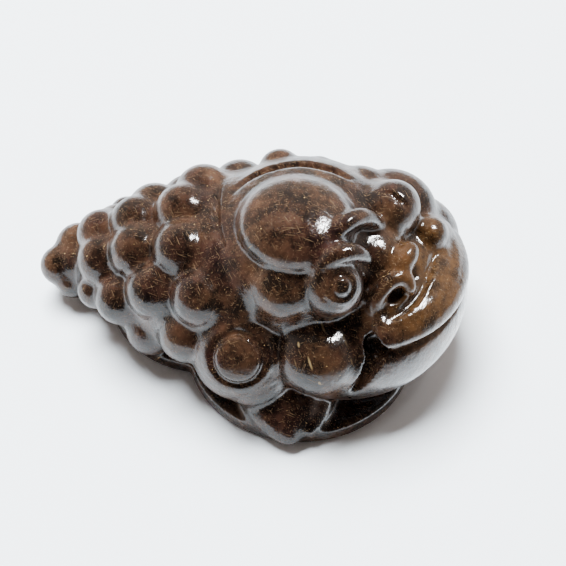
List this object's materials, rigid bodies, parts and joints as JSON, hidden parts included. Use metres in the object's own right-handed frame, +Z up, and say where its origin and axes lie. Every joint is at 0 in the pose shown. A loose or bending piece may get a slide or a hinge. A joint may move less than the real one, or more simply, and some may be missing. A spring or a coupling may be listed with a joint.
{
  "type": "money toad figurine",
  "caption": "Three-legged money toad carved from dark needle-filled stone, squatting on two overlapping round coins, back covered with round warts, head turned to its right.",
  "frame": {"origin": "on the ground, under the middle of the figure's bounding box", "axes": "+Z up, the toad looks towards -Y, its right side is at -X"},
  "size_m": [0.043, 0.0596, 0.0279],
  "materials": {
    "stone": "polished"
  },
  "bodies": {
    "root": {"toad": "stone"}
  },
  "joints": []
}
